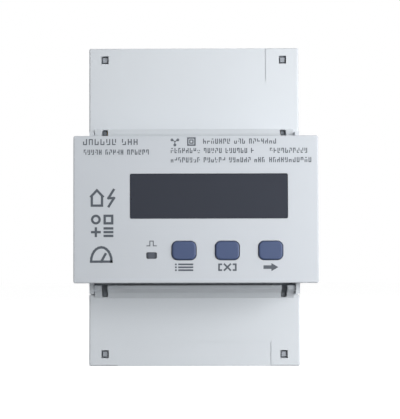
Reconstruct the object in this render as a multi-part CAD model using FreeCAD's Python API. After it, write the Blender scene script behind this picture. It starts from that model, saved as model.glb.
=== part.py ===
"""Three-phase smart electric meter for a 35 mm rail, as separate pieces in millimetres.

The frame: X to the right, Y from front to back, Z up. The origin is the middle of the
rail seat, so Y = 0 is the plane of the rail's front face. A "reach" is a distance from
that origin: ahead of the rail (towards -Y) or up and down along Z.
"""
import FreeCAD
import Part
import math
import os

Vector = FreeCAD.Vector

# ---- Overall sizes ----
meter_width = 72.0        # four rail modules of 18 mm
window_height = 43.4      # raised front that shows through a distribution board
front_reach = 60.0
back_reach = -5.5         # legs behind the rail's front plane
cover_reach = 40.0        # flat faces of the two terminal covers
split_reach = 44.0        # where the front cover meets the base housing
top_reach = 52.2
bottom_reach = 47.8
overhang = 2.9            # front cover beyond the body, each side
edge_round = 0.5          # outer edges of the housing and covers

# ---- Walls and clearances ----
wall = 2.0
cover_wall = 1.8
gap = 0.2                 # between moulded pieces
running_gap = 0.06        # radial, on hinge pins and screws
bite = 0.02               # how much wider a pilot hole is than its screw
flange_depth = 1.6        # collar of the housing behind the front cover
rim_height = 3.0          # rim of the housing inside the front cover
rim_wall = 1.3

# ---- Rail seat, hook and latch ----
rail_half = 17.5
rail_lip = 1.0
rail_room = 0.1
seat_half = 15.0          # flat pad that rests on the rail
seat_relief = 0.3
hook_overlap = 2.2
hook_thickness = 2.0
hook_inner_x = 14.0
hook_outer_x = 30.0
hook_lead_in = 0.6
latch_half = 8.8
latch_key_half = 6.8
latch_thickness = 3.8
latch_end = 0.8           # latch stops this far inside the bottom end
spring_wire = 0.6
spring_radius = 1.6
spring_turns = 6
spring_length = 12.0
shelf_reach = 38.0        # the housing's step that the spring stands on
shelf_thickness = 2.0
window_half = 2.6         # slot in the latch around the spring
driver_slot = (5.0, 2.3)  # screwdriver slot in the latch's tab

# ---- Terminal covers and their hinges ----
skirt_depth = 5.8
hinge_ahead = 2.0         # hinge axis ahead of the cover's face
hinge_from_window = 2.0   # hinge axis beyond the raised front
hinge_pin_radius = 0.75
cheek_length = 3.5
arm_width = 2.2
slot_width = 1.9
slot_length = 4.6
slot_corner = 0.5
cheek_inset = 0.5         # outer side of a cheek inside the body's side
ramp_length = 4.9
ramp_hollow = 0.25        # how far the ramp's middle sinks below a straight slope
middle_cut_half = 24.2
middle_cut_length = 0.9
seal_window = (2.3, 2.5)
seal_from_side = 5.1
seal_from_end = 3.7
top_inset = (22.7, 10.4)      # half width, length
bottom_inset = (24.0, 7.5)
inset_depth = 0.2

pip_radius = 0.55             # post behind the end of each arm slot
pip_reach = 39.2

# ---- Main terminals ----
main_count = 4
row_shift = 1.15          # main screws beyond the middle of their room
block_gap = 0.4           # between a clamp's way and the walls around it
block_back_reach = 10.0
main_head_radius = 2.9
main_head_height = 2.6
main_head_below = 1.2     # head below the block's front
main_screw_radius = 2.3
main_thread_pitch = 0.8
main_thread_depth = 0.3
main_travel = 6.0
main_wire_radius = 4.0
cage_size = (10.4, 13.4, 8.0)
cage_wall = 1.6
cage_side_wall = 1.4
bar_width = 7.0
bar_thickness = 1.8
bar_reach = 25.0

# ---- Signal terminals ----
signal_count = 8
signal_depth = 12.6
signal_length = 14.2
signal_row_from_end = 7.4
signal_head_radius = 2.0
signal_head_height = 1.6
signal_head_below = 0.8
signal_screw_radius = 1.3
signal_travel = 2.4
signal_wire_radius = 1.5
clamp_size = (4.6, 5.95, 5.6)
clamp_wall = 1.0
clamp_side_wall = 0.7
strip_width = 2.8
strip_thickness = 0.8
strip_reach = 31.25
lead_width = 0.8
lead_reach = 36.6
lead_gap = 0.8            # between the power board's edge and the leads

# ---- Front panel features ----
display_left = 16.6       # margins from the panel's sides
display_right = 8.95
display_low = -2.8
display_high = 10.5
display_corner = 0.5
button_size = (7.0, 5.4)
button_corner = 1.6
button_pitch = 12.7
button_from_display = 5.15
button_z = -12.15
button_proud = 0.6
button_travel = 0.6
flange = 0.7              # how far pieces behind the panel spread past their holes
flange_thickness = 0.8
lens_size = (3.05, 1.85)
lens_corner = 0.5
guide_size = (2.4, 1.4)
lens_from_button = 9.5
lens_z = -13.6
panel_corner = 0.6
panel_edge = 0.4          # rounding around the panel's face
frame_spread = 1.6        # display frame beyond the display
cell_edge = 0.1           # display cell beyond the display

# ---- Boards ----
board_thickness = 1.6
main_board_depth = 8.0    # main board behind the front face
power_board_reach = 40.0
post_size = 3.0           # ribs that the power board rests on
boss_inset = (5.5, 6.5)   # bosses from the panel's sides and ends
boss_radius = 2.4
board_screw_radius = 1.1
block_screw_radius = 1.3
board_screw_head = 2.1
block_screw_head = 2.1
block_screw_seat = 4.0    # head's seat ahead of the block's back
block_screw_bite = 8.0
ring_length = 9.0
ring_inner = 4.5
ring_gap = 0.55
switch_size = 6.0
switch_height = 4.0       # to the top of its dome
header_pins = 8
header_pitch = 2.54
header_z = -12.5
transformer_size = (15.0, 8.6, 14.0)
transformer_x = -19.5
winding_size = (10.6, 9.2)
can_height = 8.4
cans = ((22.5, 8.5, 4.0), (22.5, -1.5, 4.0), (13.0, 9.5, 3.2))         # x, z, radius
films = ((1.5, 8.0), (1.5, 0.0))                                       # x, z
film_size = (13.0, 8.0, 5.5)
chips = (                                                              # x, z, width, height, thickness
    (-9.0, 4.0, 10.0, 10.0, 1.3),
    (6.0, 6.0, 7.0, 7.0, 1.2),
    (17.0, -4.0, 6.2, 4.6, 1.2),
    (17.0, 4.0, 6.2, 4.6, 1.2),
    (-20.0, -4.0, 5.0, 4.0, 1.1),
)
lamp_size = (2.0, 1.0, 1.2)

# ---- Places that follow from the sizes above ----
front_y = -front_reach
back_y = -back_reach
cover_y = -cover_reach
split_y = -split_reach
half_meter = meter_width / 2
half_window = window_height / 2
half_body = half_meter - overhang
half_inner = half_body - wall
half_cover = half_body - gap / 2
block_y = cover_y + cover_wall + gap
step_y = cover_y + skirt_depth + gap
block_back_y = -block_back_reach
flange_y = split_y + flange_depth
chamber_z = half_window - wall
rim_z = chamber_z - gap
hinge_y = cover_y - hinge_ahead
hinge_z = half_window + hinge_from_window
boss_x = half_meter - boss_inset[0]
boss_z = half_window - boss_inset[1]
boss_places = [(x, z) for x in (-boss_x, boss_x) for z in (-boss_z, boss_z)]
post_z = chamber_z - 4.0 - post_size
power_half_z = post_z + post_size + 2 * gap
lead_rise = power_half_z + lead_gap
panel_back_y = front_y + wall
board_y = front_y + main_board_depth
block_half = half_inner - gap / 2
main_pitch = 2 * half_inner / main_count
signal_pitch = 2 * half_inner / signal_count
main_x = [(i - (main_count - 1) / 2) * main_pitch for i in range(main_count)]
signal_x = [(i - (signal_count - 1) / 2) * signal_pitch for i in range(signal_count)]
display_x = (-half_meter + display_left, half_meter - display_right)
button_x = [display_x[1] - button_from_display - i * button_pitch for i in (2, 1, 0)]
lens_x = button_x[0] - lens_from_button
cage_open_y = -bar_reach - cage_wall - block_gap
wire_y = -bar_reach + bar_thickness + main_wire_radius
signal_z = top_reach - signal_row_from_end
signal_start = top_reach - signal_length
main_row = (half_window + signal_start) / 2 + row_shift
slot_x = half_inner - arm_width - slot_width / 2
seal_x = half_body - seal_from_side
signal_back_y = block_y + signal_depth
clamp_open_y = -strip_reach - clamp_wall - 0.15
signal_wire_y = -strip_reach + strip_thickness + signal_wire_radius


def box(x, y, z):
    """A box from its (low, high) limits along each axis."""
    size = [high - low for low, high in (x, y, z)]
    return Part.makeBox(*size, Vector(x[0], y[0], z[0]))


def around(centre, width):
    """The (low, high) limits of a width about a centre."""
    return (centre - width / 2, centre + width / 2)


def rod(radius, start, end):
    """A cylinder from one point to another."""
    line = Vector(*end) - Vector(*start)
    return Part.makeCylinder(radius, line.Length, Vector(*start), line)


def cone(start_radius, end_radius, start, end):
    """A cone between two points."""
    line = Vector(*end) - Vector(*start)
    return Part.makeCone(start_radius, end_radius, line.Length, Vector(*start), line)


def prism(points, x):
    """A (Y, Z) outline drawn out between two X limits."""
    corners = [Vector(x[0], y, z) for y, z in points]
    face = Part.Face(Part.makePolygon(corners + corners[:1]))
    return face.extrude(Vector(x[1] - x[0], 0, 0))


def join(shapes):
    """One solid from several that touch or overlap."""
    whole = shapes[0].fuse(shapes[1:])
    return whole.removeSplitter()


def edges_where(shape, test):
    """The edges whose two ends and middle all pass a test of their point."""
    found = []
    for edge in shape.Edges:
        middle = edge.valueAt((edge.FirstParameter + edge.LastParameter) / 2)
        if all(test(p) for p in [v.Point for v in edge.Vertexes] + [middle]):
            found.append(edge)
    return found


def rounded_plate(x, y, z, radius):
    """A box whose four edges along Y are rounded."""
    plate = box(x, y, z)
    corners = [e for e in plate.Edges if abs(e.tangentAt(e.FirstParameter).y) > 0.9]
    return plate.makeFillet(radius, corners)


def mirrored(shape, side):
    """The shape itself for the top, or its mirror image for the bottom."""
    return shape if side > 0 else shape.mirror(Vector(0, 0, 0), Vector(0, 0, 1))


# ---- Base housing, latch and spring ----
def rail_recess():
    """Room for the rail: a flat pad with relief grooves under the hook and the latch."""
    room = rail_half + rail_room
    wide = (-half_body - 1, half_body + 1)
    recess = box(wide, (0, back_y + 1), (-room, room))
    relief = (-seat_relief, 1)
    return recess.fuse([box(wide, relief, (seat_half, room)), box(wide, relief, (-room, -seat_half))])


def rail_hooks():
    """Two fixed tongues that reach behind the rail's upper lip."""
    low = rail_half - hook_overlap
    face = rail_lip + seat_relief
    outline = [
        (face, low + hook_lead_in),
        (face + hook_lead_in, low),
        (face + hook_thickness, low),
        (back_y, rail_half + 1),
        (back_y, rail_half + 2),
        (face, rail_half + 2),
    ]
    places = ((-hook_outer_x, -hook_inner_x), (hook_inner_x, hook_outer_x))
    return [prism(outline, x) for x in places]


def hinge_cheeks():
    """Ears of the side walls, with the holes that the cover pins turn in."""
    cheeks = []
    for side in (-1, 1):
        x = sorted((side * (half_inner + gap), side * (half_body - cheek_inset)))
        ear = box(x, (split_y, step_y), (half_window - 1, half_window + cheek_length))
        radius = hinge_pin_radius + running_gap
        ear = ear.cut(rod(radius, (x[0] - 1, hinge_y, hinge_z), (x[1] + 1, hinge_y, hinge_z)))
        cheeks += [ear, mirrored(ear, -1)]
    return cheeks


def terminal_room(reach):
    """The space that a terminal block fills, and the shallower hollow behind the block."""
    wide = (-half_inner, half_inner)
    front = box(wide, (step_y - 1, block_back_y), (half_window, reach + 1))
    behind = box(wide, (block_back_y, back_y - wall), (half_window, reach - wall))
    return front.fuse(behind)


def latch_channel():
    """The T-shaped channel in the back that the latch slides in."""
    ends = (-bottom_reach - 1, -rail_half)
    slot = latch_thickness + 2 * gap
    wide = box((-latch_half - gap, latch_half + gap), (0, slot), ends)
    key = box((-latch_key_half - gap, latch_key_half + gap), (0, back_y + 1), ends)
    return wide.fuse(key)


def spring_shelf():
    """The step on the channel's floor that the latch spring stands on."""
    z = (-shelf_reach - shelf_thickness, -shelf_reach)
    return box(around(0, 2 * (window_half - 2 * gap)), (-0.5, latch_thickness - gap), z)


def board_posts():
    """Four ribs on the side walls that the power board rests on."""
    posts = []
    y = (-power_board_reach + board_thickness, -wall / 2)
    for side in (-1, 1):
        x = sorted((side * (half_inner - post_size), side * (half_inner + wall / 4)))
        for z in (post_z, -post_z - post_size):
            posts.append(box(x, y, (z, z + post_size)))
    return posts


def base_housing():
    """The tray with side walls, partitions, rail seat, hook, latch channel and hinge cheeks."""
    body = (-half_body, half_body)
    tray = box(body, (step_y, back_y), (-bottom_reach, top_reach))
    ends = [e for e in tray.Edges if abs(e.tangentAt(e.FirstParameter).y) > 0.9]
    ends += edges_where(tray, lambda p: abs(p.y - back_y) < 1e-6 and abs(p.x) > half_body - 1e-6)
    tray = tray.makeFillet(edge_round, ends)
    middle = box(body, (flange_y, step_y + 1), (-half_window, half_window))
    collar = box((-half_meter, half_meter), (split_y, flange_y), (-half_window, half_window))
    rim = box(body, (split_y - rim_height, flange_y), (-rim_z, rim_z))
    shell = tray.fuse([middle, collar, rim] + hinge_cheeks())
    inner = (-half_inner, half_inner)
    chamber = box(inner, (flange_y, -wall), (-chamber_z, chamber_z))
    mouth_z = rim_z - rim_wall
    mouth = box(inner, (split_y - rim_height - 1, flange_y + 0.1), (-mouth_z, mouth_z))
    rooms = [chamber, mouth, terminal_room(top_reach), mirrored(terminal_room(bottom_reach), -1)]
    shell = shell.cut(rooms)
    floor_x = latch_half + gap + wall
    channel_floor = box((-floor_x, floor_x), (-wall, back_y), (-bottom_reach, -half_window + 1))
    bosses = [block_boss(x, side) for x in block_screw_x() for side in (-1, 1)]
    shell = shell.fuse([channel_floor] + board_posts() + bosses)
    shell = shell.cut([rail_recess(), latch_channel()] + bar_slots() + lead_slots() + boss_holes())
    shell = shell.fuse(rail_hooks() + [spring_shelf()])
    return shell.removeSplitter()


def bar_slots():
    """Slots in the two partitions for the busbars."""
    y = (-bar_reach - 0.1, -bar_reach + bar_thickness + 0.1)
    slots = []
    for x in main_x:
        for side in (-1, 1):
            z = sorted((side * (chamber_z - 1), side * (half_window + 1)))
            slots.append(box(around(x, bar_width + 2 * gap), y, z))
    return slots


def lead_slots():
    """Slots in the upper partition for the signal leads."""
    y = (-lead_reach - gap, -lead_reach + strip_thickness + gap)
    z = (chamber_z - 1, half_window + 1)
    return [box(around(x, lead_width + 2 * gap), y, z) for x in signal_x]


def block_screw_x():
    """The screws that hold a terminal block stand between its outer pairs of terminals."""
    return (-main_pitch, main_pitch)


def block_boss(x, side):
    """A boss under a terminal block that its screw bites in."""
    z = side * main_row
    return rod(block_screw_head, (x, block_back_y, z), (x, back_y - wall / 2, z))


def boss_holes():
    """Pilot holes in the bosses."""
    radius = block_screw_radius + bite
    ends = (block_back_y - 0.1, block_back_y + block_screw_bite + gap)
    return [
        rod(radius, (x, ends[0], side * main_row), (x, ends[1], side * main_row))
        for x in block_screw_x()
        for side in (-1, 1)
    ]


def rail_latch():
    """The sliding latch: tongue, guide plate, spring slot and a tab with a screwdriver slot."""
    low = -bottom_reach + latch_end
    high = -rail_half - seat_relief
    face = rail_lip + seat_relief
    y0 = gap
    y1 = gap + latch_thickness
    plate = box((-latch_half, latch_half), (y0, y1), (low, high))
    key = box((-latch_key_half, latch_key_half), (y1 - 0.1, back_y - gap), (low, high))
    tip = -rail_half + hook_overlap
    outline = [
        (face, high - 1),
        (face, tip - hook_lead_in),
        (face + hook_lead_in, tip),
        (face + hook_thickness, tip),
        (y1, high - 1),
    ]
    tongue = prism(outline, (-latch_half, latch_half))
    latch = join([plate, key, tongue])
    slot_z = (-shelf_reach - shelf_thickness - gap, -shelf_reach + spring_length)
    spring_slot = box(around(0, 2 * window_half), (-1, back_y + 1), slot_z)
    pry_slot = box(around(0, driver_slot[0]), (-1, back_y + 1), (low + 1.5, low + 1.5 + driver_slot[1]))
    grooves = [
        box((-latch_half, latch_half), (back_y - gap - 0.4, back_y + 1), (z, z + 0.7))
        for z in (low + 4.6, low + 6.0)
    ]
    return latch.cut([spring_slot, pry_slot] + grooves)


def latch_spring():
    """A compression spring between the shelf and the upper end of the latch's slot."""
    rise = spring_length - spring_wire
    path = Part.makeHelix(rise / spring_turns, rise, spring_radius)
    section = Part.makeCircle(spring_wire / 2, Vector(spring_radius, 0, 0), Vector(0, 1, 0))
    coil = Part.Wire(path).makePipeShell([Part.Wire(section)], True, True)
    coil.translate(Vector(0, gap + latch_thickness / 2, -shelf_reach + spring_wire / 2))
    return coil


# ---- Terminal covers ----
def cover_ramp():
    """The sloped edge that rises from the cover's face to its hinge axis."""
    face = cover_y
    start = half_window + ramp_length
    crest = (hinge_y - 1.3, hinge_z)
    outline = [
        (face, start),
        ((face + crest[0]) / 2 + ramp_hollow, (start + crest[1]) / 2 - ramp_hollow),
        crest,
        (hinge_y - 1.0, hinge_z - 1.1),
        (hinge_y + 0.6, hinge_z - 1.3),
        (hinge_y + 0.8, hinge_z - 0.4),
        (face + cover_wall, start - 0.6),
        (face + cover_wall, start + 0.6),
        (face, start + 0.6),
    ]
    half = half_inner
    return prism(outline, (-half, half))


def cover_shell(reach):
    """Face, side skirts and end lip of a cover, above the hinge cheeks."""
    start = half_window + cheek_length + 2 * gap
    outer = box((-half_cover, half_cover), (cover_y, cover_y + skirt_depth), (start, reach))
    front = edges_where(outer, lambda p: abs(p.y - cover_y) < 1e-6 and p.z > start + 1e-6)
    sides = edges_where(outer, lambda p: abs(p.y - cover_y) < 1e-6 and abs(p.x) > half_cover - 1e-6)
    corners = edges_where(outer, lambda p: abs(p.z - reach) < 1e-6 and abs(p.x) > half_cover - 1e-6)
    outer = outer.makeFillet(edge_round, front + sides + corners)
    wide = (-half_inner - gap, half_inner + gap)
    deep = (cover_y + cover_wall, cover_y + skirt_depth + 1)
    return outer.cut(box(wide, deep, (0, reach - cover_wall)))


def arm_slot(x):
    """A slot with rounded corners, which lets a hinge arm flex."""
    z = (half_window - 1, half_window + slot_length)
    return rounded_plate(around(x, slot_width), (hinge_y - 3, cover_y + cover_wall + 1), z, slot_corner)


def terminal_cover(side, reach, inset):
    """A hinged cover with snap-in arms, seal windows and an inset panel."""
    cover = cover_shell(reach).fuse(cover_ramp())
    deep = (hinge_y - 3, cover_y + cover_wall + 1)
    middle = box(around(0, 2 * middle_cut_half), deep, (half_window - 1, half_window + middle_cut_length))
    seal_z = around(reach - seal_from_end, seal_window[1])
    cuts = [middle]
    for hand in (-1, 1):
        cuts.append(arm_slot(hand * slot_x))
        cuts.append(box(around(hand * seal_x, seal_window[0]), deep, seal_z))
    skin = (cover_y - 1, cover_y + inset_depth)
    cuts.append(box((-inset[0], inset[0]), skin, (reach - inset[1], reach + 1)))
    cover = cover.cut(cuts)
    pins = []
    for hand in (-1, 1):
        root = (hand * (half_inner - 0.6), hinge_y, hinge_z)
        tip = (hand * (half_body - cheek_inset - gap), hinge_y, hinge_z)
        pins.append(rod(hinge_pin_radius, root, tip))
    cover = cover.fuse(pins).removeSplitter()
    return mirrored(cover, side)


# ---- Terminal blocks ----
def main_cell(x, reach):
    """One main terminal's hollow: screw access, clamp chamber, busbar slot and wire entry."""
    chamber_z_limits = around(main_row, cage_size[2] + 2 * gap)
    closed_y = cage_open_y - main_travel
    chamber_y = (closed_y - 1.5 * block_gap, cage_open_y + cage_size[1] + block_gap)
    chamber = box(around(x, cage_size[0] + 2 * gap), chamber_y, chamber_z_limits)
    access = rod(main_head_radius + gap, (x, block_y - 1, main_row), (x, chamber_y[0] + 0.1, main_row))
    bar_y = (-bar_reach - 0.1, -bar_reach + bar_thickness + 0.1)
    bar = box(around(x, bar_width + 2 * gap), bar_y, (half_window - 1, main_row))
    entry = rod(main_wire_radius, (x, wire_y, main_row), (x, wire_y, reach + 1))
    mouth = cone(main_wire_radius, main_wire_radius + 0.8, (x, wire_y, reach - 0.8), (x, wire_y, reach))
    return [chamber, access, bar, entry, mouth]


def block_screw_holes():
    """Deep counterbores for the screws that hold a block to the housing."""
    cuts = []
    seat_y = block_back_y - block_screw_seat
    end_y = block_back_y + 1
    for x in block_screw_x():
        cuts.append(rod(block_screw_head + gap, (x, block_y - 1, main_row), (x, seat_y, main_row)))
        cuts.append(rod(block_screw_radius + gap, (x, seat_y - 0.1, main_row), (x, end_y, main_row)))
    return cuts


def seal_lugs(reach):
    """Small posts with a cross hole for a seal wire, which stand in the covers' windows."""
    posts = []
    z = reach - seal_from_end
    for hand in (-1, 1):
        post = box(around(hand * seal_x, 1.4), (cover_y + 0.5, block_y + 0.5), around(z, 1.5))
        wire = rod(0.4, (hand * seal_x - 1, cover_y + 1.2, z), (hand * seal_x + 1, cover_y + 1.2, z))
        posts.append(post.cut(wire))
    return posts


def slot_pips():
    """Round posts that stand behind the ends of a cover's arm slots."""
    z = half_window + slot_length - slot_width / 2
    return [rod(pip_radius, (x, -pip_reach, z), (x, block_y + 0.5, z)) for x in (-slot_x, slot_x)]


def bottom_terminal_block():
    """The moulding that holds the four lower main terminals."""
    x = (-block_half, block_half)
    start = half_window + gap / 2
    front = box(x, (block_y, step_y + 0.1), (start, bottom_reach - cover_wall - gap))
    rear = box(x, (step_y, block_back_y), (start, bottom_reach))
    block = front.fuse([rear] + seal_lugs(bottom_reach) + slot_pips())
    cells = [cut for cell_x in main_x for cut in main_cell(cell_x, bottom_reach)]
    block = block.cut(cells + block_screw_holes()).removeSplitter()
    return mirrored(block, -1)


def top_terminal_block():
    """The moulding that holds the four upper main terminals, low where the signal row sits."""
    x = (-block_half, block_half)
    start = half_window + gap / 2
    front = box(x, (block_y, block_back_y), (start, signal_start - gap / 2))
    rear = box(x, (signal_back_y + gap / 2, block_back_y), (start, top_reach))
    block = front.fuse([rear] + slot_pips())
    cells = [cut for cell_x in main_x for cut in main_cell(cell_x, top_reach)]
    grooves = []
    for lead_x in signal_x:
        y = (block_y - 1, -lead_reach + strip_thickness + gap)
        grooves.append(box(around(lead_x, lead_width + 2 * gap), y, (start - 1, signal_start + 1)))
    return block.cut(cells + block_screw_holes() + grooves).removeSplitter()


def signal_cell(x):
    """One signal terminal's hollow: screw access, clamp chamber, lead slot and wire entry."""
    closed_y = clamp_open_y - signal_travel
    chamber_y = (closed_y - 2 * gap, clamp_open_y + clamp_size[1] + gap)
    chamber_z_limits = around(signal_z, clamp_size[2] + 2 * gap)
    chamber = box(around(x, clamp_size[0] + 2 * gap), chamber_y, chamber_z_limits)
    radius = signal_head_radius + gap
    access = rod(radius, (x, block_y - 1, signal_z), (x, chamber_y[0] + 0.1, signal_z))
    entry = rod(signal_wire_radius, (x, signal_wire_y, signal_z), (x, signal_wire_y, top_reach + 1))
    slot_y = (block_y - 1, -strip_reach + strip_thickness + gap)
    lead = box(around(x, lead_width + 2 * gap), slot_y, (signal_start - 1, signal_start + 2.2))
    strip_y = (-strip_reach - gap, -strip_reach + strip_thickness + gap)
    strip = box(around(x, strip_width + gap), strip_y, (signal_start + 0.8, signal_z))
    return [chamber, access, entry, lead, strip]


def signal_terminal_block():
    """The moulding that holds the row of small signal terminals."""
    x = (-block_half, block_half)
    front = box(x, (block_y, step_y + 0.1), (signal_start, top_reach - cover_wall - gap))
    rear = box(x, (step_y, signal_back_y), (signal_start, top_reach))
    block = front.fuse([rear] + seal_lugs(top_reach))
    cells = [cut for cell_x in signal_x for cut in signal_cell(cell_x)]
    return block.cut(cells).removeSplitter()


# ---- Terminal screws, clamps and conductors ----
def screw_head(radius, height, slot, x, y, z):
    """A pan head with a cross recess, its face at y."""
    head = rod(radius, (x, y, z), (x, y + height, z))
    rims = edges_where(head, lambda p: abs(p.y - y) < 1e-6)
    head = head.makeChamfer(radius * 0.12, rims)
    long = radius * 1.5
    recess = [
        box(around(x, long), (y - 1, y + height * 0.5), around(z, slot)),
        box(around(x, slot), (y - 1, y + height * 0.5), around(z, long)),
    ]
    return head.cut(recess)


def threaded_shaft(x, start_y, end_y, z):
    """A main screw's shaft, whose thread is drawn as rings."""
    radius = main_screw_radius
    depth = main_thread_depth
    pitch = main_thread_pitch
    count = int((end_y - start_y) / pitch)
    points = [(0, start_y), (radius, start_y)]
    for turn in range(count):
        y = start_y + turn * pitch
        points += [(radius, y + 0.35 * pitch), (radius - depth, y + 0.65 * pitch), (radius, y + pitch)]
    points += [(radius - depth, end_y), (0, end_y)]
    corners = [Vector(x + r, y, z) for r, y in points]
    face = Part.Face(Part.makePolygon(corners + corners[:1]))
    return face.revolve(Vector(x, 0, z), Vector(0, 1, 0), 360)


def main_screw(x, side):
    """A captive main terminal screw, its tip against the busbar."""
    z = side * main_row
    head_y = block_y + main_head_below
    shaft = threaded_shaft(x, head_y + main_head_height, -bar_reach - 0.05, z)
    return join([screw_head(main_head_radius, main_head_height, 0.9, x, head_y, z), shaft])


def rising_clamp(x, z, open_y, size, top_wall, side_wall, hole):
    """A box clamp, open along Z, with a hole for its screw."""
    wide, deep, long = size
    clamp = box(around(x, wide), (open_y, open_y + deep), around(z, long))
    inside_y = (open_y + top_wall, open_y + deep - top_wall)
    inside = box(around(x, wide - 2 * side_wall), inside_y, around(z, long + 2))
    bore = rod(hole, (x, open_y - 1, z), (x, open_y + top_wall + 1, z))
    return clamp.cut([inside, bore])


def main_clamp(x, side):
    """The rising clamp of a main terminal, fully open."""
    hole = main_screw_radius + running_gap
    return rising_clamp(x, side * main_row, cage_open_y, cage_size, cage_wall, cage_side_wall, hole)


def signal_screw(x):
    """A captive signal terminal screw, its tip against the contact strip."""
    head_y = block_y + signal_head_below
    neck_y = head_y + signal_head_height
    shaft = rod(signal_screw_radius, (x, neck_y - 0.1, signal_z), (x, -strip_reach - 0.05, signal_z))
    return join([screw_head(signal_head_radius, signal_head_height, 0.7, x, head_y, signal_z), shaft])


def signal_clamp(x):
    """The rising clamp of a signal terminal, fully open."""
    hole = signal_screw_radius + running_gap
    return rising_clamp(x, signal_z, clamp_open_y, clamp_size, clamp_wall, clamp_side_wall, hole)


def phase_busbars():
    """Four flat bars that join each lower main terminal to the upper one."""
    reach = main_row + cage_size[2] / 2 - 0.5
    y = (-bar_reach, -bar_reach + bar_thickness)
    return [box(around(x, bar_width), y, (-reach, reach)) for x in main_x]


def current_transformers():
    """Three wound rings around the phase bars."""
    outer = main_pitch / 2 - ring_gap
    centre_y = -bar_reach + bar_thickness / 2
    rings = []
    for x in main_x[:3]:
        low = (x, centre_y, -ring_length / 2)
        high = (x, centre_y, ring_length / 2)
        ring = rod(outer, low, high).cut(rod(ring_inner, low, high))
        rims = [e for e in ring.Edges if e.Closed and e.Curve.Radius > ring_inner + 1]
        rings.append(ring.makeFillet(1.0, rims))
    return rings


def signal_contacts():
    """Strips from the signal clamps, over the main terminals, to the main board."""
    contacts = []
    for x in signal_x:
        step_z = signal_start + 1.2
        strip_y = (-strip_reach, -strip_reach + strip_thickness)
        lead_y = (-lead_reach, -lead_reach + strip_thickness)
        wide = around(x, strip_width)
        narrow = around(x, lead_width)
        contacts.append(
            join([
                box(wide, strip_y, (step_z, signal_z + clamp_size[2] / 2 - 0.4)),
                box(narrow, (lead_y[0], strip_y[1]), (step_z, step_z + strip_thickness)),
                box(narrow, lead_y, (lead_rise, step_z + strip_thickness)),
                box(narrow, (board_y + board_thickness, lead_y[1]), (lead_rise, lead_rise + strip_thickness)),
            ])
        )
    return contacts


def block_screws():
    """Four screws that hold the main terminal blocks down in the housing."""
    screws = []
    for x in block_screw_x():
        for side in (-1, 1):
            z = side * main_row
            seat_y = block_back_y - block_screw_seat
            shaft = rod(block_screw_radius, (x, seat_y - 0.1, z), (x, block_back_y + block_screw_bite, z))
            screws.append(join([screw_head(block_screw_head, 1.8, 0.7, x, seat_y - 1.8, z), shaft]))
    return screws


# ---- Front cover and what sits in it ----
def front_cover():
    """The raised cap with its openings and the bosses that carry the main board."""
    cap = box((-half_meter, half_meter), (front_y, split_y), (-half_window, half_window))
    corners = [e for e in cap.Edges if abs(e.tangentAt(e.FirstParameter).y) > 0.9]
    cap = cap.makeFillet(panel_corner, corners)
    cap = cap.makeFillet(panel_edge, edges_where(cap, lambda p: abs(p.y - front_y) < 1e-6))
    inner_x = half_meter - wall
    hollow = box((-inner_x, inner_x), (panel_back_y, split_y + 1), (-chamber_z, chamber_z))
    cap = cap.cut(hollow)
    bosses = [rod(boss_radius, (x, panel_back_y - 0.1, z), (x, board_y, z)) for x, z in boss_places]
    radius = board_screw_radius + bite
    pilots = [rod(radius, (x, board_y - 4.5, z), (x, board_y + 1, z)) for x, z in boss_places]
    through = (front_y - 1, panel_back_y + 1)
    holes = [rounded_plate(display_x, through, (display_low, display_high), display_corner)]
    for x in button_x:
        wide, high = [s + 2 * gap for s in button_size]
        holes.append(rounded_plate(around(x, wide), through, around(button_z, high), button_corner + gap))
    wide, high = [s + gap / 2 for s in lens_size]
    holes.append(rounded_plate(around(lens_x, wide), through, around(lens_z, high), lens_corner))
    return cap.cut(holes).fuse(bosses).cut(pilots).removeSplitter()


def display_window():
    """A smoked clear insert, flush with the panel and held by a flange behind it."""
    edge = gap / 4
    x = (display_x[0] + edge, display_x[1] - edge)
    z = (display_low + edge, display_high - edge)
    pane = rounded_plate(x, (front_y + 0.1, panel_back_y + 0.1), z, display_corner - edge)
    back = box(
        (x[0] - flange, x[1] + flange),
        (panel_back_y, panel_back_y + flange_thickness),
        (z[0] - flange, z[1] + flange),
    )
    return join([pane, back])


def lcd_frame():
    """The tray on the main board that holds the display glass."""
    y = (panel_back_y + flange_thickness + 0.1, board_y)
    x = (display_x[0] - frame_spread, display_x[1] + frame_spread)
    z = (display_low - frame_spread, display_high + frame_spread)
    pocket_x = (display_x[0] - 2 * cell_edge, display_x[1] + 2 * cell_edge)
    pocket_z = (display_low - 2 * cell_edge, display_high + 2 * cell_edge)
    return box(x, y, z).cut(box(pocket_x, (y[0] - 1, board_y - 1.4), pocket_z))


def lcd_glass():
    """The display cell: two glass plates, the rear one a little wider for its contacts."""
    x = (display_x[0] - cell_edge, display_x[1] + cell_edge)
    top = display_high + cell_edge
    rear = box(x, (board_y - 2.5, board_y - 1.45), (display_low - cell_edge, top))
    front = box(x, (board_y - 3.55, board_y - 2.5), (display_low + 1.4, top))
    return join([rear, front])


def pulse_lens():
    """The clear light guide of the pulse lamp."""
    wide, high = lens_size
    deep = (front_y, panel_back_y + 0.1)
    pane = rounded_plate(around(lens_x, wide), deep, around(lens_z, high), lens_corner - gap / 4)
    back = box(
        around(lens_x, wide + 2 * flange),
        (panel_back_y, panel_back_y + flange_thickness),
        around(lens_z, high + 2 * flange),
    )
    guide_y = (panel_back_y, board_y - lamp_size[1] - gap)
    guide = box(around(lens_x, guide_size[0]), guide_y, around(lens_z, guide_size[1]))
    return join([pane, back, guide])


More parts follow.
